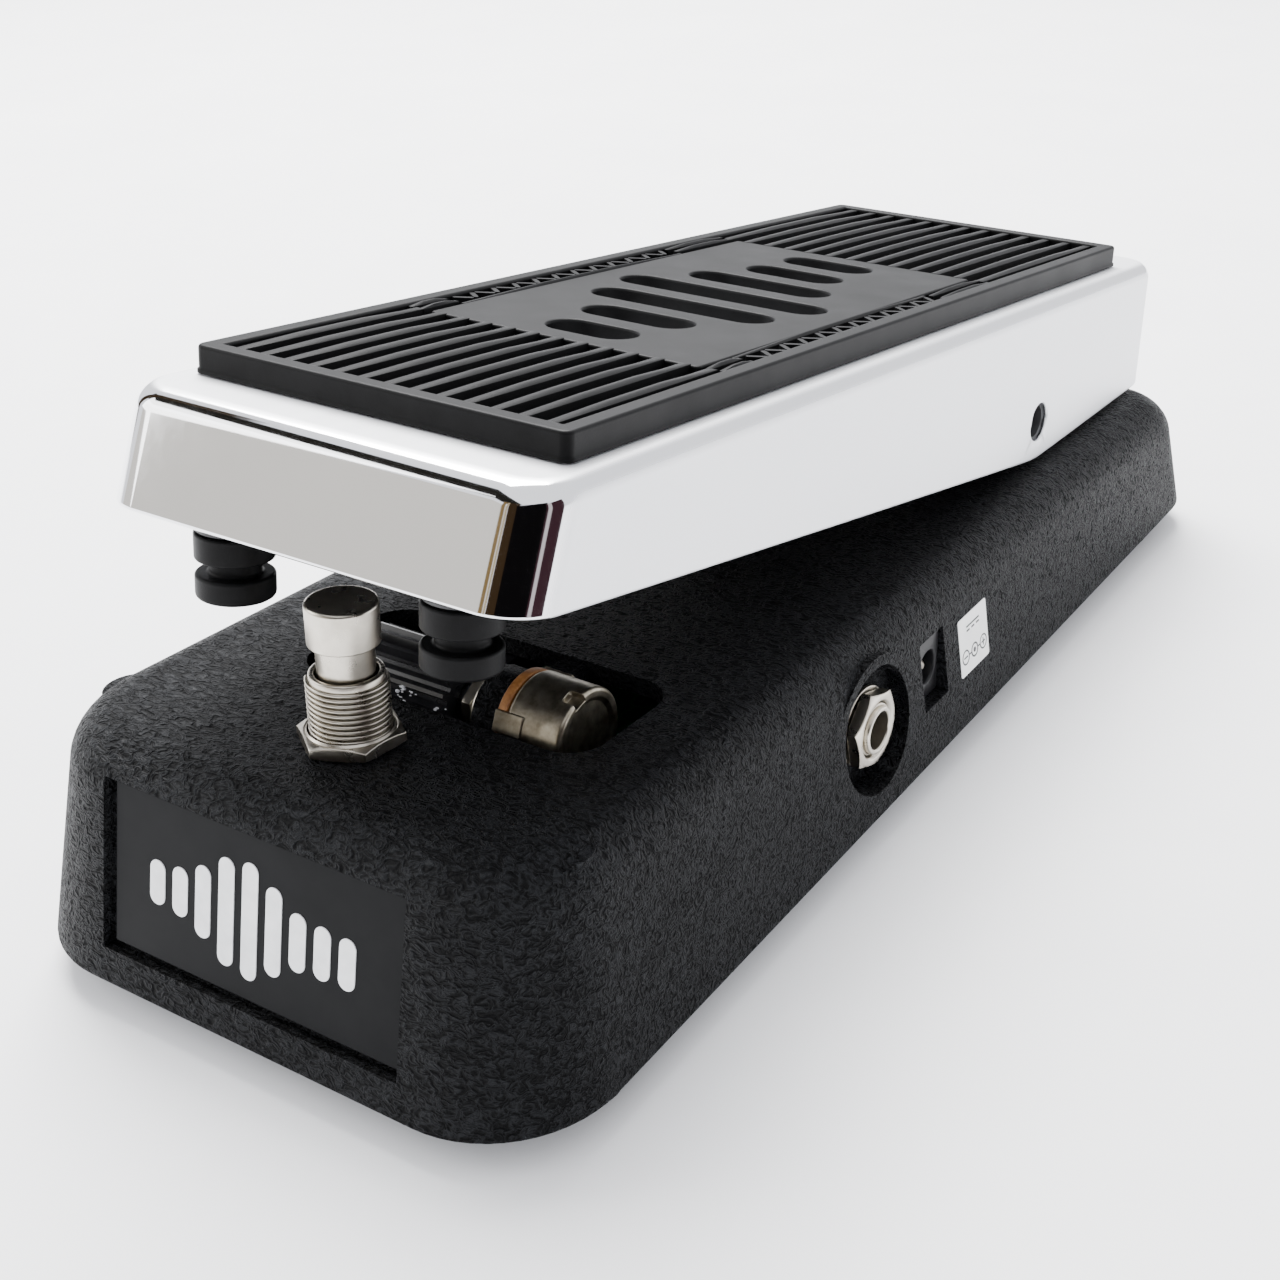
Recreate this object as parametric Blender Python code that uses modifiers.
"""Rocker effects pedal: a cast base, and a see-saw treadle that turns a potentiometer
through a rack and pinion and presses a foot switch at the end of its travel.

Axes: -Y toe, +Y heel, +X the side of the input jack, +Z up.
Origin: on the ground, under the middle of the base. Sizes here are millimetres and degrees.
"""
import bpy
import bmesh
from math import atan2, cos, degrees, pi, radians, sin, sqrt, tan
from mathutils import Matrix, Vector

MM = 0.001
GAP = 0.3            # clearance between faces of neighbouring pieces

# ---- driving dimensions: base casting
CASE_LENGTH = 252.0
CASE_WIDTH = 102.0
CASE_RIM = 5.0       # height of the rim above the ground
TOE_HEIGHT = 42.4    # top surface above the ground at the toe end of the length
HEEL_HEIGHT = 29.8   # the same at the heel end
CASE_WALL = 3.0
TOE_CORNER = 20.0    # plan radius at the toe
HEEL_CORNER = 14.0
CASE_EDGE = 7.0      # radius along the top edge
END_DRAFT = 12.0
SIDE_DRAFT = 7.5

# ---- driving dimensions: bottom plate, feet and their screws
PLATE_THICK = 1.5
FOOT_RADIUS = 8.0
FOOT_SIDE = 10.5     # centre of a foot from the side of the rim
FOOT_TOE = 24.0      # centre of a foot from the toe end of the rim
FOOT_HEEL = 23.0
POST_RADIUS = 4.6
SCREW_RADIUS = 1.6
SCREW_HEAD = 3.4

# ---- driving dimensions: pivot and treadle
PIVOT_Y = 60.0
PIVOT_ABOVE = 9.0    # pivot above the casting's top
REST_TILT = 8.0      # the toe is raised by this much, heel down
TREADLE_TRAVEL = 6.25
TREADLE_TOE = 162.0  # pivot to the top edge at the toe
TREADLE_HEEL = 61.5
TREADLE_HALF = 38.4
TREADLE_TOP = 24.2   # pivot to the top surface
TREADLE_WALL = 2.5
TREADLE_CORNER = 8.0
TREADLE_EDGE = 3.0
TOE_LEAN = 5.5       # how far the toe face leans out at the skirt's edge
HEEL_LEAN = 1.5
SKIRT_TOE = 7.6      # skirt edge above the pivot at the toe
SKIRT_PIVOT = -8.0   # and at the pivot
PIVOT_HOLE = 3.8
SHAFT_RADIUS = 3.0
SHAFT_INSET = 4.4    # end of the shaft inside the treadle's side
SHAFT_SOCKET = 1.5
SHAFT_SOCKET_DEEP = 4.0
PAD_TOE_MARGIN = 10.0
PAD_HEEL_MARGIN = 15.5
PAD_SIDE_MARGIN = 4.6
PAD_THICK = 4.2

# ---- driving dimensions: ears, bushes and friction clamp at the pivot
EAR_INSIDE = 21.0
EAR_THICK = 6.0
EAR_RADIUS = 8.0
EAR_FOOT = 12.0      # half-width of an ear where it meets the casting
BUSH_RADIUS = 4.6
BUSH_FLANGE = 6.2
BUSH_FLANGE_THICK = 1.2
CLAMP_HALF = 6.0
CLAMP_THICK = 1.2
SLEEVE_RADIUS = 4.6
CLAMP_SCREW_Y = 9.0

# ---- driving dimensions: foot switch, bumpers and striker
SWITCH_Y = -97.5
BUSHING_RADIUS = 6.0
BUSHING_ABOVE = 11.4
BUSHING_BORE = 4.6
SWITCH_NUT_WALL = 1.0     # between the thread and the flats
SWITCH_NUT_THICK = 2.3
BUTTON_PLAY = 0.4
BUTTON_NECK_SHOWN = 4.5
BUTTON_CAP = 5.25
BUTTON_CAP_HIGH = 6.4
SWITCH_BODY = (17.0, 13.0, 12.0)
BUMPER_X = 21.0
BUMPER_TOE = 5.0     # from the treadle's toe edge
BUMPER_DISC = 5.8
BUMPER_DISC_THICK = 3.7
BUMPER_NECK = 3.8
BUMPER_NECK_HIGH = 2.2
BUMPER_FLANGE_THICK = 4.2
BUMPER_STEM = 3.0
BUMPER_BOSS = 5.6
STRIKER_RADIUS = 6.0

# ---- driving dimensions: potentiometer, pinion and rack
POT_Y = -75.0
POT_BELOW = 2.55     # axis below the casting's top
POT_RADIUS = 7.9
WEB_X = 9.0          # face of the cast web towards the pinion
WEB_THICK = 4.5
WEB_RADIUS = 7.0
WEB_REACH = 18.0     # half-length of the web along the casting
WEB_DROP = 14.0      # lower edge under the axis
WAFER_THICK = 1.6
CAN_LENGTH = 10.0
POT_THREAD = 3.5
POT_NUT_FLATS = 10.0
POT_NUT_THICK = 2.0
POT_WASHER = 6.0
POT_WASHER_THICK = 0.7
POT_SHAFT = 3.0
GEAR_MODULE = 0.75
GEAR_TEETH = 18
PINION_FROM = -16.0
PINION_TO = 3.5
RACK_X = -6.0
RACK_HALF = 4.0
RACK_THICK = 3.2
RACK_LOW = 22.5      # lower end of the rack, heel down
RACK_PIN_BELOW = 8.12     # pin under the treadle's top wall
RACK_PIN = 1.5
RACK_HEAD_HIGH = 4.0
SLOT_FROM = -24.5    # opening in the top, along X
SLOT_TO = 31.0
SLOT_TOE = -84.5
SLOT_HEEL = -59.0
SLOT_CORNER = 6.0

# ---- driving dimensions: jacks, supply socket, front plate
JACK_Y = -27.2
JACK_Z = 20.6
JACK_RECESS = 11.0
JACK_DEEP = 3.75     # recess floor under the side's face
JACK_BOSS_DEEP = 3.6
JACK_THREAD = 4.6
JACK_BORE = 3.25
JACK_PROUD = 0.35    # sleeve past the side's face
JACK_NUT_FLATS = 12.5
JACK_NUT_THICK = 2.2
JACK_WASHER = 7.0
JACK_WASHER_THICK = 0.8
JACK_BODY = (22.0, 15.0, 14.0)
DC_Y = -6.2
DC_Z = 21.7
DC_WINDOW = (8.9, 12.7)
DC_DEEP = 14.0
DC_BORE = 2.85
DC_PIN = 1.05
DC_INSET = 1.4       # socket's face under the side's face
DC_HOLE_DEEP = 10.0
BADGE_WIDTH = 56.4
BADGE_HIGH = 27.0
BADGE_LOW = 10.9     # lower edge of the recess above the ground
BADGE_RECESS = 2.0
BADGE_THICK = 1.2

# ---- driving dimensions: electronics
BOARD_HALF = 33.0
BOARD_TOE = -46.0
BOARD_HEEL = 36.0
BOARD_THICK = 1.6
BOARD_Z = 9.0
RAIL_WIDTH = 4.0
CELL = (26.5, 48.5, 17.5)
CELL_Y = 84.0
SNAP_THICK = 5.0

# ---- driving dimensions: rack guide
GUIDE_THICK = 1.0
GUIDE_HALF = 5.0
GUIDE_LOW = 18.0     # lower end of the guide above the ground
GUIDE_REACH = 12.0   # its flange past the slot
GUIDE_SCREW = 7.0    # screw past the slot
GUIDE_SCREW_RADIUS = 1.2
CLAMP_SCREW_RADIUS = 1.4
LUG_THICK = 2.5
LUG_RADIUS = 4.0
STEM_LENGTH = 6.0

# ---- worked out from the above
SLOPE = atan2(TOE_HEIGHT - HEEL_HEIGHT, CASE_LENGTH)
PLATE_LOW = CASE_RIM + GAP
PLATE_TOP = PLATE_LOW + PLATE_THICK
FOOT_TOE_Y = -CASE_LENGTH / 2 + FOOT_TOE
FOOT_HEEL_Y = CASE_LENGTH / 2 - FOOT_HEEL
GEAR_PITCH = GEAR_MODULE * GEAR_TEETH / 2
ADDENDUM = 0.8 * GEAR_MODULE
DEDENDUM = 1.1 * GEAR_MODULE
RACK_LINE = POT_Y + GEAR_PITCH
RACK_BACK = RACK_LINE + DEDENDUM + RACK_THICK
PAD_LOW = TREADLE_TOP + GAP
PAD_TOE = TREADLE_TOE - PAD_TOE_MARGIN
PAD_HEEL = TREADLE_HEEL - PAD_HEEL_MARGIN
PAD_HALF = TREADLE_HALF - PAD_SIDE_MARGIN
SHAFT_HALF = TREADLE_HALF - SHAFT_INSET
FOOT_X = CASE_WIDTH / 2 - FOOT_SIDE
SWITCH_NUT_FLATS = 2 * (BUSHING_RADIUS + SWITCH_NUT_WALL)
BUTTON_NECK = BUSHING_BORE - BUTTON_PLAY
BUMPER_U = BUMPER_TOE - TREADLE_TOE


def case_top(y):
    """Height of the casting's top surface above the ground."""
    return TOE_HEIGHT - (y + CASE_LENGTH / 2) * tan(SLOPE)


def side_x(z):
    """Outer face of the casting's side wall."""
    return CASE_WIDTH / 2 - (z - CASE_RIM) * tan(radians(SIDE_DRAFT))


PIVOT_Z = case_top(PIVOT_Y) + PIVOT_ABOVE
POT_Z = case_top(POT_Y) - POT_BELOW
JACK_FLOOR = side_x(JACK_Z) - JACK_DEEP
JACK_OUT = side_x(JACK_Z) + JACK_PROUD
DC_FACE = side_x(DC_Z) - DC_INSET


def treadle_point(y, z):
    """The (u, w) of a world point, heel down."""
    c, s = cos(radians(REST_TILT)), sin(radians(REST_TILT))
    return ((y - PIVOT_Y) * c - (z - PIVOT_Z) * s, (y - PIVOT_Y) * s + (z - PIVOT_Z) * c)


def height_at(y, w):
    """Height above the ground of the treadle point w above the pivot, straight over y."""
    return PIVOT_Z + (w - (y - PIVOT_Y) * sin(radians(REST_TILT))) / cos(radians(REST_TILT))


def lowered(height, u, tilt):
    """The w of a treadle point at u that comes to a height above the ground at a tilt."""
    return (height - PIVOT_Z + u * sin(radians(tilt))) / cos(radians(tilt))


# ---- scene, collections and materials
for old in list(bpy.data.objects):
    bpy.data.objects.remove(old, do_unlink=True)


def new_collection(name):
    made = bpy.data.collections.new(name)
    bpy.context.scene.collection.children.link(made)
    return made


PARTS = new_collection("rocker_pedal")
CUTTERS = new_collection("cutters")


def finish(name, colour, roughness, metallic):
    made = bpy.data.materials.new(name)
    made.use_nodes = True
    shader = made.node_tree.nodes["Principled BSDF"]
    shader.inputs["Base Color"].default_value = (*colour, 1.0)
    shader.inputs["Roughness"].default_value = roughness
    shader.inputs["Metallic"].default_value = metallic
    return made


WRINKLE = finish("wrinkle_coat", (0.022, 0.023, 0.026), 0.55, 0.0)
CHROME = finish("chrome", (0.80, 0.81, 0.83), 0.06, 1.0)
RUBBER = finish("rubber", (0.018, 0.018, 0.019), 0.62, 0.0)
NICKEL = finish("nickel", (0.66, 0.62, 0.56), 0.22, 1.0)
STEEL = finish("steel", (0.52, 0.53, 0.55), 0.32, 1.0)
NYLON = finish("black_nylon", (0.020, 0.020, 0.022), 0.35, 0.0)
WHITE_NYLON = finish("white_nylon", (0.78, 0.77, 0.72), 0.45, 0.0)
PHENOLIC = finish("phenolic", (0.33, 0.13, 0.035), 0.5, 0.0)
TARNISH = finish("tarnished_nickel", (0.36, 0.33, 0.27), 0.38, 1.0)
BLACK_PLASTIC = finish("black_plastic", (0.012, 0.012, 0.013), 0.3, 0.0)
BOARD_GREEN = finish("board", (0.03, 0.12, 0.05), 0.4, 0.0)
BLUE_FILM = finish("film_capacitor", (0.35, 0.05, 0.03), 0.4, 0.0)
CELL_SKIN = finish("battery_skin", (0.05, 0.06, 0.08), 0.35, 0.2)


# ---- modelling helpers
def place(name, mesh, material, cutter=False):
    """Put a mesh in the model, or among the cutters."""
    made = bpy.data.objects.new(name, mesh)
    (CUTTERS if cutter else PARTS).objects.link(made)
    mesh.materials.clear()
    mesh.materials.append(material)
    if cutter:
        made.hide_render = True
        made.display_type = "WIRE"
    return made


def from_bmesh(name, shape, material, cutter=False):
    """Turn a bmesh in millimetres into an object in metres."""
    bmesh.ops.scale(shape, vec=(MM, MM, MM), verts=shape.verts)
    mesh = bpy.data.meshes.new(name)
    shape.to_mesh(mesh)
    shape.free()
    return place(name, mesh, material, cutter)


def box(name, low, high, material, corner=0.0, edge=0.0, cutter=False):
    """A block between two corners, with rounded upright edges and a rounded top edge."""
    shape = bmesh.new()
    bmesh.ops.create_cube(shape, size=1.0)
    size = [b - a for a, b in zip(low, high)]
    middle = [(a + b) / 2 for a, b in zip(low, high)]
    bmesh.ops.scale(shape, vec=size, verts=shape.verts)
    bmesh.ops.translate(shape, vec=middle, verts=shape.verts)
    if corner:
        upright = [e for e in shape.edges if abs(e.verts[0].co.z - e.verts[1].co.z) > 0.9 * size[2]]
        bmesh.ops.bevel(shape, geom=upright, offset=corner, segments=5, profile=0.5, affect="EDGES")
    if edge:
        rim = [e for e in shape.edges if all(abs(v.co.z - high[2]) < 1e-4 for v in e.verts)]
        bmesh.ops.bevel(shape, geom=rim, offset=edge, segments=3, profile=0.5, affect="EDGES")
    return from_bmesh(name, shape, material, cutter)


AXES = {"X": Matrix.Rotation(pi / 2, 4, "Y"), "Y": Matrix.Rotation(-pi / 2, 4, "X"), "Z": Matrix()}


def cylinder(name, radius, start, end, centre, axis, material, sides=24, cutter=False):
    """A cylinder along an axis from start to end; centre gives the other two coordinates."""
    shape = bmesh.new()
    bmesh.ops.create_cone(shape, cap_ends=True, segments=sides, radius1=radius, radius2=radius,
                          depth=end - start)
    middle = list(centre)
    middle.insert("XYZ".index(axis), (start + end) / 2)
    bmesh.ops.transform(shape, matrix=Matrix.Translation(middle) @ AXES[axis], verts=shape.verts)
    return from_bmesh(name, shape, material, cutter)


def hexagon(name, flats, start, end, centre, axis, material):
    return cylinder(name, flats / 2 / cos(pi / 6), start, end, centre, axis, material, sides=6)


def turned(name, profile, material, steps=20, ring=False, cutter=False):
    """Turn a profile of (radius, height) about Z; it runs down the outer side."""
    mesh = bpy.data.meshes.new(name)
    edges = [(i, i + 1) for i in range(len(profile) - 1)]
    if ring:
        edges.append((len(profile) - 1, 0))
    mesh.from_pydata([(r * MM, 0.0, h * MM) for r, h in profile], edges, [])
    made = place(name, mesh, material, cutter)
    screw = made.modifiers.new("turn", "SCREW")
    screw.steps = screw.render_steps = steps
    screw.use_merge_vertices = True
    screw.merge_threshold = 1e-6
    screw.use_smooth_shade = True
    return made


def extruded(name, outlines, start, end, material, plane="YZ", cutter=False):
    """Flat outlines, the first one outside and any others holes, given a thickness."""
    curve = bpy.data.curves.new(name, "CURVE")
    curve.dimensions = "2D"
    curve.fill_mode = "BOTH"
    curve.extrude = (end - start) / 2 * MM
    for outline in outlines:
        spline = curve.splines.new("POLY")
        spline.points.add(len(outline) - 1)
        for point, (a, b) in zip(spline.points, outline):
            point.co = (a * MM, b * MM, 0.0, 1.0)
        spline.use_cyclic_u = True
    flat = bpy.data.objects.new(name, curve)
    PARTS.objects.link(flat)
    bpy.context.view_layer.update()
    mesh = bpy.data.meshes.new_from_object(flat.evaluated_get(bpy.context.evaluated_depsgraph_get()))
    bpy.data.objects.remove(flat, do_unlink=True)
    turn = {"YZ": Matrix(((0, 0, 1, 0), (1, 0, 0, 0), (0, 1, 0, 0), (0, 0, 0, 1))), "XY": Matrix()}[plane]
    along = {"YZ": Vector((1, 0, 0)), "XY": Vector((0, 0, 1))}[plane]
    shape = bmesh.new()
    shape.from_mesh(mesh)
    bmesh.ops.remove_doubles(shape, verts=shape.verts, dist=1e-6)
    bmesh.ops.transform(shape, matrix=Matrix.Translation(along * (start + end) / 2 * MM) @ turn,
                        verts=shape.verts)
    shape.to_mesh(mesh)
    shape.free()
    mesh.name = name
    return place(name, mesh, material, cutter)


def arc(centre, radius, start, end, count):
    """Points on an arc, angles in degrees."""
    turns = [radians(start + (end - start) * i / count) for i in range(count + 1)]
    return [(centre[0] + radius * cos(t), centre[1] + radius * sin(t)) for t in turns]


def boolean(target, other, operation):
    step = target.modifiers.new(other.name, "BOOLEAN")
    step.operation = operation
    step.object = other


def cut(target, *others):
    for other in others:
        boolean(target, other, "DIFFERENCE")


def join(target, *others):
    for other in others:
        boolean(target, other, "UNION")


def empty(name, location, tilt):
    """A frame turned about X by tilt degrees."""
    made = bpy.data.objects.new(name, None)
    PARTS.objects.link(made)
    made.location = [v * MM for v in location]
    made.rotation_euler = (radians(tilt), 0.0, 0.0)
    return made


def hang(frame, *pieces):
    for piece in pieces:
        piece.parent = frame


# ---- base casting: a drafted shell with a sloping top
def case_block(name, inset, floor, drop, cutter):
    """The casting's outer form, or its inside when inset by the wall."""
    shape = bmesh.new()
    bmesh.ops.create_cube(shape, size=1.0)
    high = TOE_HEIGHT - drop
    bmesh.ops.scale(shape, vec=(CASE_WIDTH - 2 * inset, CASE_LENGTH - 2 * inset, high - floor),
                    verts=shape.verts)
    bmesh.ops.translate(shape, vec=(0, 0, (high + floor) / 2), verts=shape.verts)
    for end, radius in ((-1, TOE_CORNER), (1, HEEL_CORNER)):
        upright = [e for e in shape.edges if abs(e.verts[0].co.z - e.verts[1].co.z) > 1.0
                   and all(v.co.y * end > 0 for v in e.verts)
                   and abs(e.verts[0].co.x) > CASE_WIDTH / 2 - inset - 0.01]
        bmesh.ops.bevel(shape, geom=upright, offset=radius - inset, segments=5, profile=0.5,
                        affect="EDGES")
    rim = [e for e in shape.edges if all(abs(v.co.z - high) < 1e-4 for v in e.verts)]
    bmesh.ops.bevel(shape, geom=rim, offset=CASE_EDGE - inset, segments=3, profile=0.5,
                    affect="EDGES")
    for vert in shape.verts:
        x, y, z = vert.co
        level = z
        for _ in range(4 if z > floor + 0.01 else 0):
            drafted = y * (1 - (level - CASE_RIM) * tan(radians(END_DRAFT)) / (CASE_LENGTH / 2))
            level = z - (TOE_HEIGHT - case_top(drafted))
        above = level - CASE_RIM
        vert.co = (x * (1 - above * tan(radians(SIDE_DRAFT)) / (CASE_WIDTH / 2)),
                   y * (1 - above * tan(radians(END_DRAFT)) / (CASE_LENGTH / 2)), level)
    return from_bmesh(name, shape, WRINKLE, cutter)


base_casing = case_block("base_casing", 0.0, CASE_RIM, 0.0, False)
cut(base_casing, case_block("cut_case_inside", CASE_WALL, CASE_RIM - 2.0, CASE_WALL, True))

feet = {"toe_left": (-FOOT_X, FOOT_TOE_Y), "toe_right": (FOOT_X, FOOT_TOE_Y),
        "heel_left": (-FOOT_X, FOOT_HEEL_Y), "heel_right": (FOOT_X, FOOT_HEEL_Y)}
for place_name, (x, y) in feet.items():
    post = cylinder("join_post_" + place_name, POST_RADIUS, PLATE_TOP + GAP, case_top(y) - CASE_WALL / 2,
                    (x, y), "Z", WRINKLE, 14, True)
    join(base_casing, post)
for place_name, (x, y) in feet.items():
    cut(base_casing, cylinder("cut_post_" + place_name, SCREW_RADIUS + GAP, CASE_RIM, PLATE_TOP + 12.0,
                              (x, y), "Z", WRINKLE, 12, True))


def ear_outline():
    """Side view of a pivot ear: a tapered web with a round top about the pivot."""
    low = case_top(PIVOT_Y + EAR_FOOT) - CASE_WALL / 2
    return ([(PIVOT_Y - EAR_FOOT, low), (PIVOT_Y + EAR_FOOT, low)]
            + arc((PIVOT_Y, PIVOT_Z), EAR_RADIUS, 10, 170, 10))


for side, sign in (("left", -1), ("right", 1)):
    ends = sorted((sign * EAR_INSIDE, sign * (EAR_INSIDE + EAR_THICK)))
    join(base_casing, extruded("join_ear_" + side, [ear_outline()], *ends, WRINKLE, cutter=True))
    boss = sorted((sign * (JACK_FLOOR - JACK_BOSS_DEEP), sign * (side_x(JACK_Z) - 1.0)))
    join(base_casing, cylinder("join_jack_boss_" + side, JACK_RECESS + 2.0, *boss, (JACK_Y, JACK_Z), "X",
                               WRINKLE, 28, True))
    recess = sorted((sign * JACK_FLOOR, sign * (CASE_WIDTH / 2 + 4.0)))
    cut(base_casing, cylinder("cut_jack_recess_" + side, JACK_RECESS, *recess, (JACK_Y, JACK_Z), "X",
                              WRINKLE, 32, True))
cut(base_casing, cylinder("cut_ear_bore", BUSH_RADIUS + GAP, -40.0, 40.0, (PIVOT_Y, PIVOT_Z), "X",
                          WRINKLE, 24, True))
cut(base_casing, cylinder("cut_jack_bore", JACK_THREAD + GAP, -60.0, 60.0, (JACK_Y, JACK_Z), "X",
                          WRINKLE, 24, True))

web_low = POT_Z - WEB_DROP
web_high = case_top(POT_Y) - CASE_WALL / 2
web = ([(POT_Y - WEB_REACH, web_low), (POT_Y + WEB_REACH, web_low), (POT_Y + WEB_REACH, web_high),
        (POT_Y + WEB_RADIUS, web_high)] + arc((POT_Y, POT_Z), WEB_RADIUS, 8, 172, 10)
       + [(POT_Y - WEB_RADIUS, web_high), (POT_Y - WEB_REACH, web_high)])
slot = box("cut_slot", (SLOT_FROM, SLOT_TOE, case_top(0) - 11.1), (SLOT_TO, SLOT_HEEL, TOE_HEIGHT + 17.6),
           WRINKLE, SLOT_CORNER, cutter=True)
cut(base_casing, slot)
join(base_casing, extruded("join_pot_web", [web], WEB_X, WEB_X + WEB_THICK, WRINKLE, cutter=True))
cut(base_casing, cylinder("cut_pot_bore", POT_THREAD + GAP, WEB_X - 1.0, WEB_X + WEB_THICK + 1.0,
                          (POT_Y, POT_Z), "X", WRINKLE, 20, True))
cut(base_casing, box("cut_dc_window",
                     (DC_FACE - DC_DEEP - 3.4, DC_Y - DC_WINDOW[0] / 2, DC_Z - DC_WINDOW[1] / 2),
                     (CASE_WIDTH / 2 + 9.0, DC_Y + DC_WINDOW[0] / 2, DC_Z + DC_WINDOW[1] / 2), WRINKLE,
                     cutter=True))

# ---- frames that pieces are built in
treadle_frame = empty("treadle_frame", (0, PIVOT_Y, PIVOT_Z), -REST_TILT)
switch_frame = empty("switch_frame", (0, SWITCH_Y, case_top(SWITCH_Y)), -degrees(SLOPE))
toe_middle = BADGE_LOW + BADGE_HIGH / 2
badge_frame = empty("badge_frame",
                    (0, -CASE_LENGTH / 2 + (toe_middle - CASE_RIM) * tan(radians(END_DRAFT)), toe_middle),
                    -END_DRAFT)

# ---- front plate in its recess
recess = box("cut_badge", (-BADGE_WIDTH / 2, -5.0, -BADGE_HIGH / 2),
             (BADGE_WIDTH / 2, BADGE_RECESS, BADGE_HIGH / 2), WRINKLE, cutter=True)
front_plate = box("front_plate",
                  (GAP - BADGE_WIDTH / 2, BADGE_RECESS - GAP - BADGE_THICK, GAP - BADGE_HIGH / 2),
                  (BADGE_WIDTH / 2 - GAP, BADGE_RECESS - GAP, BADGE_HIGH / 2 - GAP), BLACK_PLASTIC)
badge_back = box("join_badge_back", (-BADGE_WIDTH / 2 - 2, 1.0, -BADGE_HIGH / 2 - 2),
                 (BADGE_WIDTH / 2 + 2, BADGE_RECESS + 2.5, BADGE_HIGH / 2 + 1), WRINKLE, cutter=True)
hang(badge_frame, recess, front_plate, badge_back)
join(base_casing, badge_back)
cut(base_casing, recess)

# ---- foot switch, square to the sloping top
switch_hole = cylinder("cut_switch", BUSHING_RADIUS + GAP, -10.0, 8.0, (0, 0), "Z", WRINKLE, 28, True)
nut_high = GAP + SWITCH_NUT_THICK
body_top = -CASE_WALL - 3.4
lock_nut_low = -CASE_WALL - GAP - 1.8
switch_bushing = turned("switch_bushing",
                        [(BUSHING_BORE, BUSHING_ABOVE), (BUSHING_RADIUS - 0.6, BUSHING_ABOVE),
                         (BUSHING_RADIUS, BUSHING_ABOVE - 0.6), (BUSHING_RADIUS, body_top + GAP),
                         (BUSHING_BORE, body_top + GAP)], NICKEL, ring=True)
switch_nut = hexagon("switch_nut", SWITCH_NUT_FLATS, GAP, nut_high, (0, 0), "Z", NICKEL)
switch_lock_nut = hexagon("switch_lock_nut", SWITCH_NUT_FLATS, lock_nut_low, -CASE_WALL - GAP,
                          (0, 0), "Z", STEEL)
nut_bore = cylinder("cut_switch_nuts", BUSHING_RADIUS + GAP / 2, -20.0, 20.0, (0, 0), "Z", NICKEL, 28, True)
cut(switch_nut, nut_bore)
cut(switch_lock_nut, nut_bore)
switch_body = box("switch_body", (-SWITCH_BODY[0] / 2, -SWITCH_BODY[1] / 2, body_top - SWITCH_BODY[2]),
                  (SWITCH_BODY[0] / 2, SWITCH_BODY[1] / 2, body_top), BLACK_PLASTIC, edge=0.8)
cap_low = BUSHING_ABOVE + BUTTON_NECK_SHOWN
cap_top = cap_low + BUTTON_CAP_HIGH
switch_button = turned("switch_button",
                       [(0, cap_top), (BUTTON_CAP - 0.7, cap_top), (BUTTON_CAP - 0.2, cap_top - 0.3),
                        (BUTTON_CAP, cap_top - 0.9), (BUTTON_CAP, cap_low), (BUTTON_NECK, cap_low),
                        (BUTTON_NECK, BUSHING_ABOVE - 9.0), (0, BUSHING_ABOVE - 9.0)], NICKEL)
hang(switch_frame, switch_hole, switch_bushing, switch_nut, switch_lock_nut, nut_bore, switch_body,
     switch_button)
cut(base_casing, switch_hole)

# ---- bottom plate, feet and foot screws
plate_inset = CASE_WALL + GAP + 0.2
base_plate = box("base_plate", (-CASE_WIDTH / 2 + plate_inset, -CASE_LENGTH / 2 + plate_inset, PLATE_LOW),
                 (CASE_WIDTH / 2 - plate_inset, CASE_LENGTH / 2 - plate_inset, PLATE_TOP), STEEL,
                 TOE_CORNER - plate_inset)
for place_name, (x, y) in feet.items():
    cut(base_plate, cylinder("cut_plate_" + place_name, SCREW_RADIUS + GAP, 0.0, 10.0, (x, y), "Z", STEEL,
                             16, True))
    foot = turned("foot_" + place_name,
                  [(SCREW_RADIUS + GAP, CASE_RIM), (FOOT_RADIUS, CASE_RIM), (FOOT_RADIUS - 0.5, 0.8),
                   (FOOT_RADIUS - 1.2, 0.0), (SCREW_HEAD + 0.5, 0.0), (SCREW_HEAD + 0.5, 2.6),
                   (SCREW_RADIUS + GAP, 2.6)], RUBBER, ring=True)
    foot.location = (x * MM, y * MM, 0.0)
    screw = turned("foot_screw_" + place_name,
                   [(0, PLATE_TOP + 9.0), (SCREW_RADIUS, PLATE_TOP + 9.0), (SCREW_RADIUS, 2.3),
                    (SCREW_HEAD, 2.3), (SCREW_HEAD - 0.8, 0.9), (0, 0.7)], STEEL, steps=12)
    screw.location = (x * MM, y * MM, 0.0)


# ---- treadle: a shallow chromed shell, deepest at the pivot
def lean(u, w):
    """The toe and heel faces lean out towards the skirt."""
    below = TREADLE_TOP - w
    if u < 0:
        return u * (1 + below * TOE_LEAN / (TREADLE_TOP - SKIRT_TOE) / TREADLE_TOE)
    return u * (1 + below * HEEL_LEAN / (TREADLE_TOP - SKIRT_PIVOT) / TREADLE_HEEL)


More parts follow.
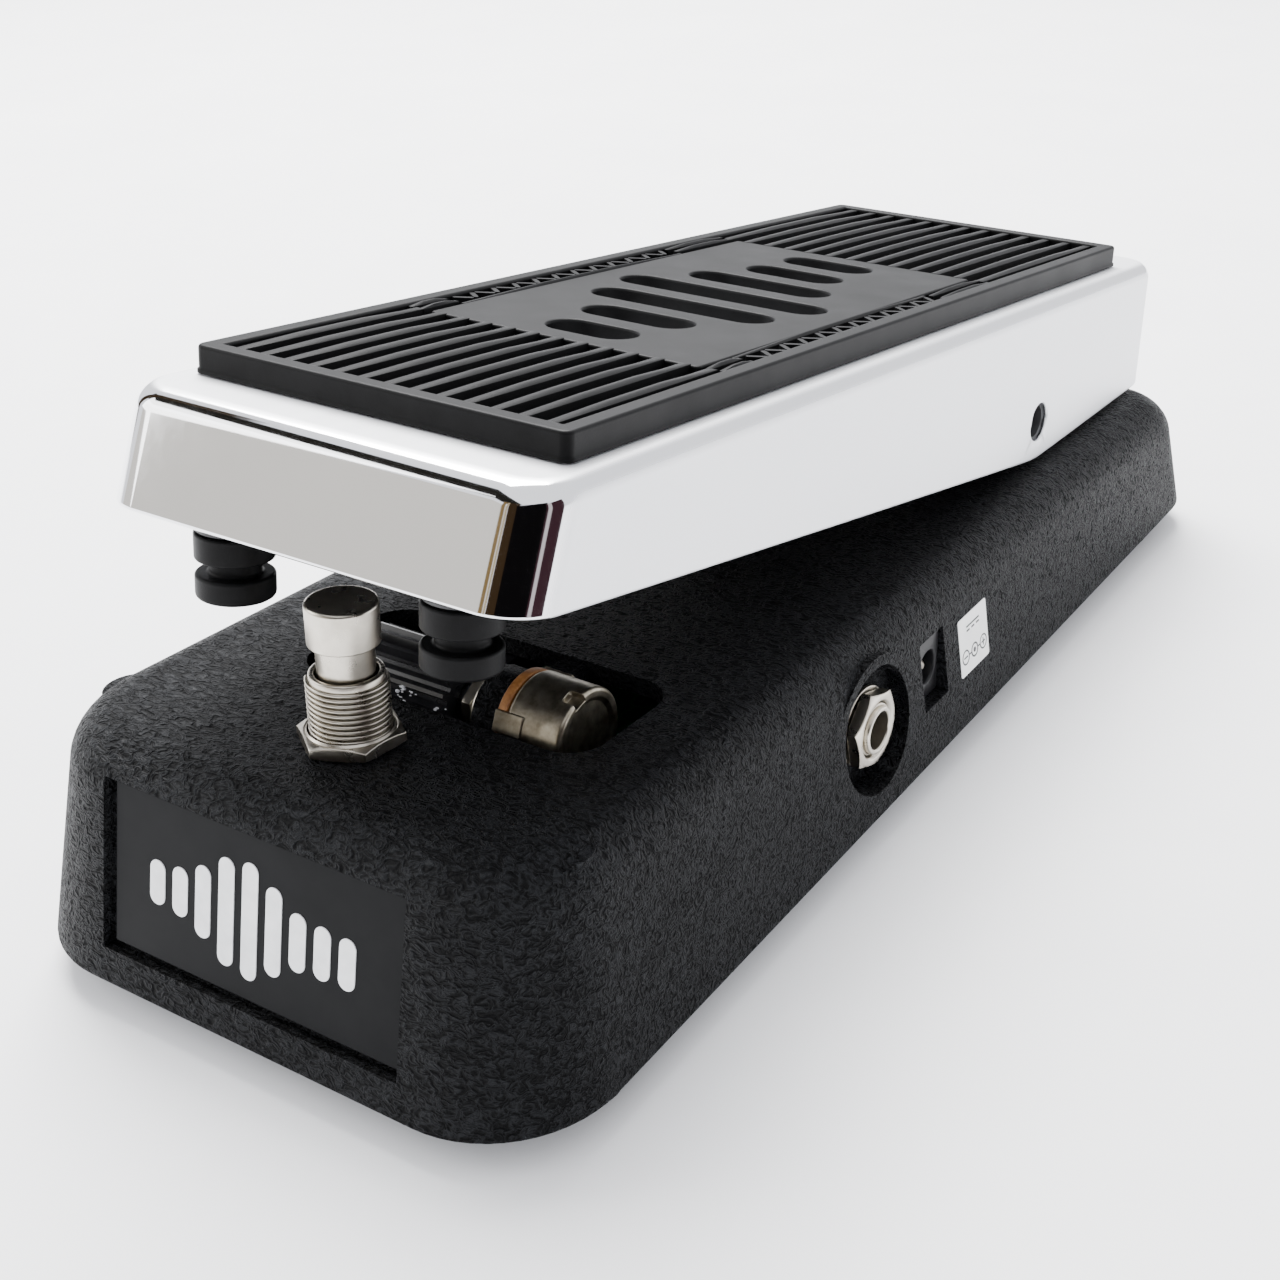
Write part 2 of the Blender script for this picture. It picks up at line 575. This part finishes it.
def treadle_block(name, inset, floor, cutter):
    shape = bmesh.new()
    bmesh.ops.create_cube(shape, size=1.0)
    high = TREADLE_TOP - inset
    length = TREADLE_TOE + TREADLE_HEEL - 2 * inset
    bmesh.ops.scale(shape, vec=(2 * (TREADLE_HALF - inset), length, high - floor), verts=shape.verts)
    bmesh.ops.translate(shape, vec=(0, (TREADLE_HEEL - TREADLE_TOE) / 2, (high + floor) / 2),
                        verts=shape.verts)
    upright = [e for e in shape.edges if abs(e.verts[0].co.z - e.verts[1].co.z) > 1.0]
    bmesh.ops.bevel(shape, geom=upright, offset=TREADLE_CORNER - inset, segments=4, profile=0.5,
                    affect="EDGES")
    rim = [e for e in shape.edges if all(abs(v.co.z - high) < 1e-4 for v in e.verts)]
    bmesh.ops.bevel(shape, geom=rim, offset=max(TREADLE_EDGE - inset, 0.8), segments=3, profile=0.5,
                    affect="EDGES")
    for vert in shape.verts:
        vert.co.y = lean(vert.co.y, vert.co.z)
    return from_bmesh(name, shape, CHROME, cutter)


skirt_floor = SKIRT_PIVOT - 12.0
treadle = treadle_block("treadle", 0.0, skirt_floor, False)
treadle_inside = treadle_block("cut_treadle_inside", TREADLE_WALL, skirt_floor - 3.0, True)

# the skirt's edge rises to the toe, and behind the pivot it runs along the casting's top
heel_rise = TREADLE_HEEL * tan(radians(REST_TILT) - SLOPE)
reach = 30.0
skirt_line = [(-TREADLE_TOE - TOE_LEAN - reach,
               SKIRT_TOE + reach * (SKIRT_TOE - SKIRT_PIVOT) / (TREADLE_TOE + TOE_LEAN)),
              (0.0, SKIRT_PIVOT),
              (TREADLE_HEEL + reach, SKIRT_PIVOT + heel_rise * (TREADLE_HEEL + reach) / TREADLE_HEEL),
              (TREADLE_HEEL + reach, skirt_floor - reach),
              (-TREADLE_TOE - TOE_LEAN - reach, skirt_floor - reach)]
skirt_cut = extruded("cut_skirt", [skirt_line], -60.0, 60.0, CHROME, cutter=True)
cut(treadle, treadle_inside, skirt_cut)
hang(treadle_frame, treadle, treadle_inside, skirt_cut)

underside = TREADLE_TOP - TREADLE_WALL
buried = underside + GAP   # stops below the rounded top edge, so no boss shows outside
end_tilt = REST_TILT - TREADLE_TRAVEL
bumper_y = PIVOT_Y + BUMPER_U * cos(radians(end_tilt))
tip = lowered(case_top(bumper_y) + 1.5 * GAP, BUMPER_U, end_tilt)
neck = tip + BUMPER_DISC_THICK
flange = neck + BUMPER_NECK_HIGH
shoulder = flange + BUMPER_FLANGE_THICK
stem_top = shoulder + STEM_LENGTH
for side, sign in (("left", -1), ("right", 1)):
    ends = sorted((sign * (EAR_INSIDE + EAR_THICK + BUSH_FLANGE_THICK + 3 * GAP),
                   sign * (TREADLE_HALF - TREADLE_WALL / 2)))
    pivot_boss = cylinder("join_pivot_boss_" + side, SHAFT_RADIUS + 3.0, *ends, (0, 0), "X", CHROME, 24, True)
    bumper_boss = cylinder("join_bumper_boss_" + side, BUMPER_BOSS, shoulder + GAP, buried,
                           (sign * BUMPER_X, BUMPER_U), "Z", CHROME, 24, True)
    join(treadle, pivot_boss, bumper_boss)
    hang(treadle_frame, pivot_boss, bumper_boss)

# striker over the foot switch: it stops just above the button with the toe down
button_top = case_top(SWITCH_Y) + cap_top
striker_u = SWITCH_Y + cap_top * sin(SLOPE) - PIVOT_Y
striker_low = lowered(button_top + 2 * GAP, striker_u, end_tilt)
striker = cylinder("join_striker", STRIKER_RADIUS, striker_low, buried, (0, striker_u), "Z", CHROME, 24, True)

# lugs that hold the rack's pin
rack_mid = (RACK_LINE + DEDENDUM + RACK_BACK) / 2
RACK_PIN_Z = height_at(rack_mid, underside - RACK_PIN_BELOW)
pin_u, pin_w = treadle_point(rack_mid, RACK_PIN_Z)
lugs = []
for sign in (-1, 1):
    face = RACK_X + sign * (RACK_HALF + 2 * GAP)
    ends = sorted((face, face + sign * LUG_THICK))
    outline = ([(pin_u + LUG_RADIUS, buried), (pin_u - LUG_RADIUS, buried)]
               + arc((pin_u, pin_w), LUG_RADIUS, 180, 360, 8))
    lugs.append(extruded(f"join_rack_lug_{len(lugs) + 1}", [outline], *ends, CHROME, cutter=True))
join(treadle, striker, *lugs)
pin_bore = cylinder("cut_rack_lugs", RACK_PIN + GAP / 2, RACK_X - 12.0, RACK_X + 12.0, (pin_u, pin_w), "X",
                    CHROME, 16, True)
pivot_bore = cylinder("cut_pivot_bore", SHAFT_RADIUS + GAP, -60.0, 60.0, (0, 0), "X", CHROME, 24, True)
cut(treadle, pin_bore, pivot_bore)
hang(treadle_frame, striker, *lugs, pin_bore, pivot_bore)
for side, sign in (("left", -1), ("right", 1)):
    ends = sorted((sign * (SHAFT_HALF + 2 * GAP), sign * 60.0))
    hole = cylinder("cut_pivot_hole_" + side, PIVOT_HOLE, *ends, (0, 0), "X", CHROME, 24, True)
    cut(treadle, hole)
    hang(treadle_frame, hole)

pivot_shaft = cylinder("pivot_shaft", SHAFT_RADIUS, -SHAFT_HALF, SHAFT_HALF, (0, 0), "X", STEEL, 24)
for side, sign in (("left", -1), ("right", 1)):
    ends = sorted((sign * (SHAFT_HALF - SHAFT_SOCKET_DEEP), sign * (SHAFT_HALF + 6.0)))
    socket = cylinder("cut_shaft_socket_" + side, SHAFT_SOCKET, *ends, (0, 0), "X", STEEL, 6, True)
    cut(pivot_shaft, socket)
    hang(treadle_frame, socket)
hang(treadle_frame, pivot_shaft)

# ---- rubber tread
tread_pad = box("tread_pad", (-PAD_HALF, -PAD_TOE, PAD_LOW), (PAD_HALF, PAD_HEEL, PAD_LOW + PAD_THICK),
                RUBBER, 1.5, 0.6)
hang(treadle_frame, tread_pad)

# ---- rubber bumpers: a disc, a neck and a flange on a stem pushed into the treadle's boss
for side, sign in (("left", -1), ("right", 1)):
    bumper = turned("bumper_" + side,
                    [(0, stem_top), (BUMPER_STEM, stem_top), (BUMPER_STEM, shoulder),
                     (BUMPER_DISC - 0.5, shoulder), (BUMPER_DISC, shoulder - 0.5),
                     (BUMPER_DISC, flange), (BUMPER_NECK, flange),
                     (BUMPER_NECK, neck), (BUMPER_DISC, neck), (BUMPER_DISC, tip + 0.5),
                     (BUMPER_DISC - 0.5, tip), (0, tip)], RUBBER)
    bumper.location = (sign * BUMPER_X * MM, BUMPER_U * MM, 0.0)
    stem_hole = cylinder("cut_bumper_" + side, BUMPER_STEM + GAP, shoulder - 2.0, stem_top + GAP,
                         (sign * BUMPER_X, BUMPER_U), "Z", CHROME, 20, True)
    cut(treadle, stem_hole)
    hang(treadle_frame, bumper, stem_hole)

# ---- bushes in the ears and the friction clamp on the shaft
for side, sign in (("left", -1), ("right", 1)):
    inner = EAR_INSIDE + GAP
    outer = EAR_INSIDE + EAR_THICK
    bush = turned("pivot_bush_" + side,
                  [(SHAFT_RADIUS + GAP, outer + GAP + BUSH_FLANGE_THICK),
                   (BUSH_FLANGE, outer + GAP + BUSH_FLANGE_THICK), (BUSH_FLANGE, outer + GAP),
                   (BUSH_RADIUS, outer + GAP), (BUSH_RADIUS, inner), (SHAFT_RADIUS + GAP, inner)],
                  WHITE_NYLON, 20, ring=True)
    bush.location = (0.0, PIVOT_Y * MM, PIVOT_Z * MM)
    bush.rotation_euler = (0.0, sign * pi / 2, 0.0)

friction_sleeve = turned("friction_sleeve",
                         [(SHAFT_RADIUS + GAP, CLAMP_HALF - 0.5), (SLEEVE_RADIUS, CLAMP_HALF - 0.5),
                          (SLEEVE_RADIUS, 0.5 - CLAMP_HALF), (SHAFT_RADIUS + GAP, 0.5 - CLAMP_HALF)],
                         WHITE_NYLON, 20, ring=True)
friction_sleeve.location = (0.0, PIVOT_Y * MM, PIVOT_Z * MM)
friction_sleeve.rotation_euler = (0.0, pi / 2, 0.0)

inner = SLEEVE_RADIUS + GAP
outer = inner + CLAMP_THICK
flange_low = case_top(PIVOT_Y - CLAMP_SCREW_Y - 5.0) + GAP
wing = CLAMP_SCREW_Y + 4.5
clamp_outline = ([(PIVOT_Y - wing, flange_low), (PIVOT_Y - inner, flange_low)]
                 + arc((PIVOT_Y, PIVOT_Z), inner, 180, 0, 12)
                 + [(PIVOT_Y + inner, flange_low), (PIVOT_Y + wing, flange_low),
                    (PIVOT_Y + wing, flange_low + CLAMP_THICK), (PIVOT_Y + outer, flange_low + CLAMP_THICK)]
                 + arc((PIVOT_Y, PIVOT_Z), outer, 0, 180, 12)
                 + [(PIVOT_Y - outer, flange_low + CLAMP_THICK), (PIVOT_Y - wing, flange_low + CLAMP_THICK)])
friction_clamp = extruded("friction_clamp", [clamp_outline], -CLAMP_HALF, CLAMP_HALF, STEEL)
for end, sign in (("toe", -1), ("heel", 1)):
    y = PIVOT_Y + sign * (CLAMP_SCREW_Y + 0.5)
    head_low = flange_low + CLAMP_THICK + GAP
    screw = turned("clamp_screw_" + end,
                   [(0, head_low + 1.6), (2.2, head_low + 1.4), (2.7, head_low),
                    (CLAMP_SCREW_RADIUS, head_low), (CLAMP_SCREW_RADIUS, case_top(y) - CASE_WALL - 1.5),
                    (0, case_top(y) - CASE_WALL - 1.5)], STEEL, steps=12)
    screw.location = (0.0, y * MM, 0.0)
    hole = cylinder("cut_clamp_" + end, CLAMP_SCREW_RADIUS + GAP, case_top(y) - 2 * CASE_WALL - 4.0,
                    head_low + 3.0, (0, y), "Z", STEEL, 16, True)
    cut(friction_clamp, hole)
    cut(base_casing, hole)


# ---- potentiometer, with its bushing through the cast web
def gear_outline(teeth, phase):
    """A spur gear with straight-sided teeth; phase turns it, in degrees."""
    points = []
    root = GEAR_PITCH - DEDENDUM
    top = GEAR_PITCH + ADDENDUM
    step = 360.0 / teeth
    for i in range(teeth):
        middle = phase + i * step
        for radius, part in ((root, -0.36), (top, -0.12), (top, 0.12), (root, 0.36)):
            angle = radians(middle + part * step)
            points.append((POT_Y + radius * cos(angle), POT_Z + radius * sin(angle)))
    return points


wafer_from = WEB_X + WEB_THICK + GAP
can_from = wafer_from + WAFER_THICK + GAP
bushing_to = WEB_X - GAP - POT_WASHER_THICK - GAP - POT_NUT_THICK - 0.8
pot_can = turned("pot_can",
                 [(0, CAN_LENGTH), (POT_RADIUS - 1.2, CAN_LENGTH), (POT_RADIUS - 0.35, CAN_LENGTH - 0.35),
                  (POT_RADIUS, CAN_LENGTH - 1.2), (POT_RADIUS, 0), (0, 0)], TARNISH, 28)
pot_can.location = (can_from * MM, POT_Y * MM, POT_Z * MM)
pot_can.rotation_euler = (0.0, pi / 2, 0.0)
pot_wafer = cylinder("pot_wafer", POT_RADIUS - 0.1, wafer_from, wafer_from + WAFER_THICK, (POT_Y, POT_Z), "X",
                     PHENOLIC, 28)
pot_bushing = turned("pot_bushing",
                     [(POT_SHAFT + GAP, wafer_from - GAP), (POT_THREAD, wafer_from - GAP),
                      (POT_THREAD, bushing_to), (POT_SHAFT + GAP, bushing_to)], NICKEL, 20, ring=True)
pot_bushing.location = (0.0, POT_Y * MM, POT_Z * MM)
pot_bushing.rotation_euler = (0.0, pi / 2, 0.0)
washer_to = WEB_X - GAP
pot_washer = turned("pot_washer",
                    [(POT_THREAD + GAP, washer_to), (POT_WASHER, washer_to),
                     (POT_WASHER, washer_to - POT_WASHER_THICK),
                     (POT_THREAD + GAP, washer_to - POT_WASHER_THICK)],
                    STEEL, 20, ring=True)
pot_washer.location = (0.0, POT_Y * MM, POT_Z * MM)
pot_washer.rotation_euler = (0.0, pi / 2, 0.0)
nut_to = washer_to - POT_WASHER_THICK - GAP
pot_nut = hexagon("pot_nut", POT_NUT_FLATS, nut_to - POT_NUT_THICK, nut_to, (POT_Y, POT_Z), "X", NICKEL)
cut(pot_nut, cylinder("cut_pot_nut", POT_THREAD + GAP / 2, -20.0, 20.0, (POT_Y, POT_Z), "X", NICKEL,
                      24, True))
pot_shaft = cylinder("pot_shaft", POT_SHAFT, PINION_FROM + 0.5, wafer_from - 2 * GAP, (POT_Y, POT_Z), "X",
                     STEEL, 24)

# ---- pinion on the potentiometer's shaft
bore_circle = arc((POT_Y, POT_Z), POT_SHAFT + GAP, 0, 345, 23)
pinion = extruded("pinion", [gear_outline(GEAR_TEETH, 180.0 / GEAR_TEETH), bore_circle],
                  PINION_FROM, PINION_TO, NYLON)

# ---- rack: teeth towards the pinion, and a slotted head on the treadle's pin
tooth = pi * GEAR_MODULE
tooth_root = RACK_LINE + DEDENDUM
head_low = RACK_PIN_Z - RACK_HEAD_HIGH
first = -int((POT_Z - RACK_LOW - tooth / 2) / tooth)
last = int((head_low - 6.0 - POT_Z) / tooth - 0.5)
rack_outline = [(RACK_BACK, RACK_LOW), (RACK_BACK, head_low - 3.0), (RACK_BACK + 1.0, head_low),
                (RACK_BACK + 1.0, RACK_PIN_Z + RACK_HEAD_HIGH), (rack_mid - 6.6, RACK_PIN_Z + RACK_HEAD_HIGH),
                (rack_mid - 6.6, head_low), (tooth_root, head_low - 5.0)]
for i in range(last, first - 1, -1):
    middle = POT_Z + i * tooth
    rack_outline += [(tooth_root, middle + 0.36 * tooth), (RACK_LINE - ADDENDUM, middle + 0.12 * tooth),
                     (RACK_LINE - ADDENDUM, middle - 0.12 * tooth), (tooth_root, middle - 0.36 * tooth)]
rack_outline.append((tooth_root, RACK_LOW))
slot_half = RACK_PIN + GAP
pin_slot = (arc((rack_mid - 3.6, RACK_PIN_Z), slot_half, 90, 270, 8)
            + arc((rack_mid + 0.6, RACK_PIN_Z), slot_half, -90, 90, 8))
rack = extruded("rack", [rack_outline, pin_slot], RACK_X - RACK_HALF, RACK_X + RACK_HALF, NYLON)
rack_pin = cylinder("rack_pin", RACK_PIN, RACK_X - RACK_HALF - 2 * GAP - LUG_THICK - 0.8,
                    RACK_X + RACK_HALF + 2 * GAP + LUG_THICK + 0.8, (pin_u, pin_w), "X", STEEL, 16)
hang(treadle_frame, rack_pin)

# ---- spring-steel guide behind the rack, screwed under the casting's top
guide_face = RACK_BACK + GUIDE_THICK + GAP
guide_to = SLOT_HEEL + GUIDE_REACH
guide_top = case_top(guide_to) - CASE_WALL - GAP
guide_back = guide_face - GUIDE_THICK
guide_outline = [(guide_back, GUIDE_LOW), (guide_face, GUIDE_LOW), (guide_face, guide_top - GUIDE_THICK),
                 (guide_to, guide_top - GUIDE_THICK), (guide_to, guide_top), (guide_back, guide_top)]
rack_guide = extruded("rack_guide", [guide_outline], RACK_X - GUIDE_HALF, RACK_X + GUIDE_HALF, STEEL)
guide_screw_y = SLOT_HEEL + GUIDE_SCREW
screw_end = case_top(guide_screw_y) - CASE_WALL / 3
head_top = guide_top - GUIDE_THICK - GAP
guide_screw = turned("guide_screw",
                     [(0, screw_end), (GUIDE_SCREW_RADIUS, screw_end), (GUIDE_SCREW_RADIUS, head_top),
                      (2 * GUIDE_SCREW_RADIUS, head_top), (2 * GUIDE_SCREW_RADIUS, head_top - 1.5),
                      (0, head_top - 1.5)], STEEL, steps=12)
guide_screw.location = (RACK_X * MM, guide_screw_y * MM, 0.0)
guide_hole = cylinder("cut_guide", GUIDE_SCREW_RADIUS + GAP, 10.0, screw_end + GAP / 1.5,
                      (RACK_X, guide_screw_y), "Z", STEEL, 16, True)
cut(rack_guide, guide_hole)
cut(base_casing, guide_hole)

# ---- jacks: input on the right, output on the left
for side, sign in (("input", 1), ("output", -1)):
    def span(a, b):
        return sorted((sign * a, sign * b))
    body_to = JACK_FLOOR - JACK_BOSS_DEEP - GAP
    jack_body = box(side + "_jack_body",
                    (span(body_to - JACK_BODY[0], body_to)[0], JACK_Y - JACK_BODY[1] / 2,
                     JACK_Z - JACK_BODY[2] / 2),
                    (span(body_to - JACK_BODY[0], body_to)[1], JACK_Y + JACK_BODY[1] / 2,
                     JACK_Z + JACK_BODY[2] / 2), BLACK_PLASTIC)
    bore = cylinder(f"cut_{side}_bore", JACK_BORE, *span(body_to - JACK_BODY[0] + 2.0, 60.0),
                    (JACK_Y, JACK_Z), "X", BLACK_PLASTIC, 24, True)
    cut(jack_body, bore)
    for piece, profile, material in (
            ("sleeve", [(JACK_BORE, JACK_OUT), (JACK_THREAD - 0.4, JACK_OUT), (JACK_THREAD, JACK_OUT - 0.4),
                        (JACK_THREAD, body_to + GAP), (JACK_BORE, body_to + GAP)], NICKEL),
            ("washer", [(JACK_THREAD + GAP, JACK_FLOOR + GAP + JACK_WASHER_THICK),
                        (JACK_WASHER, JACK_FLOOR + GAP + JACK_WASHER_THICK), (JACK_WASHER, JACK_FLOOR + GAP),
                        (JACK_THREAD + GAP, JACK_FLOOR + GAP)], NICKEL)):
        made = turned(f"{side}_jack_{piece}", profile, material, 20, ring=True)
        made.location = (0.0, JACK_Y * MM, JACK_Z * MM)
        made.rotation_euler = (0.0, sign * pi / 2, 0.0)
    nut_from = JACK_FLOOR + 2 * GAP + JACK_WASHER_THICK
    jack_nut = hexagon(side + "_jack_nut", JACK_NUT_FLATS, *span(nut_from, nut_from + JACK_NUT_THICK),
                       (JACK_Y, JACK_Z), "X", NICKEL)
    cut(jack_nut, cylinder(f"cut_{side}_nut", JACK_THREAD + GAP / 2, *span(JACK_FLOOR - 5.0, JACK_OUT + 10.0),
                           (JACK_Y, JACK_Z), "X", NICKEL, 28, True))

# ---- supply socket in its window
dc_socket = box("dc_socket",
                (DC_FACE - DC_DEEP, DC_Y - DC_WINDOW[0] / 2 + GAP, DC_Z - DC_WINDOW[1] / 2 + GAP),
                (DC_FACE, DC_Y + DC_WINDOW[0] / 2 - GAP, DC_Z + DC_WINDOW[1] / 2 - GAP), BLACK_PLASTIC)
cut(dc_socket, cylinder("cut_dc_bore", DC_BORE, DC_FACE - DC_HOLE_DEEP, DC_FACE + 5.0, (DC_Y, DC_Z), "X",
                        BLACK_PLASTIC, 24, True))
dc_pin = cylinder("dc_pin", DC_PIN, DC_FACE - DC_HOLE_DEEP + GAP, DC_FACE - 0.8, (DC_Y, DC_Z), "X",
                  NICKEL, 16)

# ---- circuit board and its components
circuit_board = box("circuit_board", (-BOARD_HALF, BOARD_TOE, BOARD_Z),
                    (BOARD_HALF, BOARD_HEEL, BOARD_Z + BOARD_THICK), BOARD_GREEN)
for side, sign in (("left", -1), ("right", 1)):
    rail = sorted((sign * (BOARD_HALF - RAIL_WIDTH), sign * BOARD_HALF))
    box("board_rail_" + side, (rail[0], BOARD_TOE, PLATE_TOP + GAP), (rail[1], BOARD_HEEL, BOARD_Z - GAP),
        WHITE_NYLON)
on_board = BOARD_Z + BOARD_THICK + GAP
inductor = turned("inductor",
                  [(0, on_board + 10), (7.0, on_board + 10), (7.5, on_board + 9.5), (7.5, on_board),
                   (0, on_board)], PHENOLIC, 24)
inductor.location = (0.0, 12.0 * MM, 0.0)
for index, (x, y) in enumerate(((-12, -6), (-12, 4), (12, 6)), 1):
    box(f"capacitor_{index}", (x - 3.7, y - 1.8, on_board), (x + 3.7, y + 1.8, on_board + 6.5), BLUE_FILM,
        edge=0.6)
for index, x in enumerate((-5, 5), 1):
    transistor = turned(f"transistor_{index}", [(0, on_board + 4.6), (2.4, on_board + 4.6), (2.4, on_board),
                                                (0, on_board)], BLACK_PLASTIC, 16)
    transistor.location = (x * MM, -10.0 * MM, 0.0)

# ---- battery and its snap
cell_low = PLATE_TOP + GAP
battery = box("battery", (-CELL[0] / 2, CELL_Y - CELL[1] / 2, cell_low),
              (CELL[0] / 2, CELL_Y + CELL[1] / 2, cell_low + CELL[2]), CELL_SKIN, edge=1.2)
snap_to = CELL_Y - CELL[1] / 2 - GAP
battery_snap = box("battery_snap", (-CELL[0] / 2, snap_to - SNAP_THICK, cell_low + 1.0),
                   (CELL[0] / 2, snap_to, cell_low + CELL[2] - 1.0), BLACK_PLASTIC, edge=0.8)
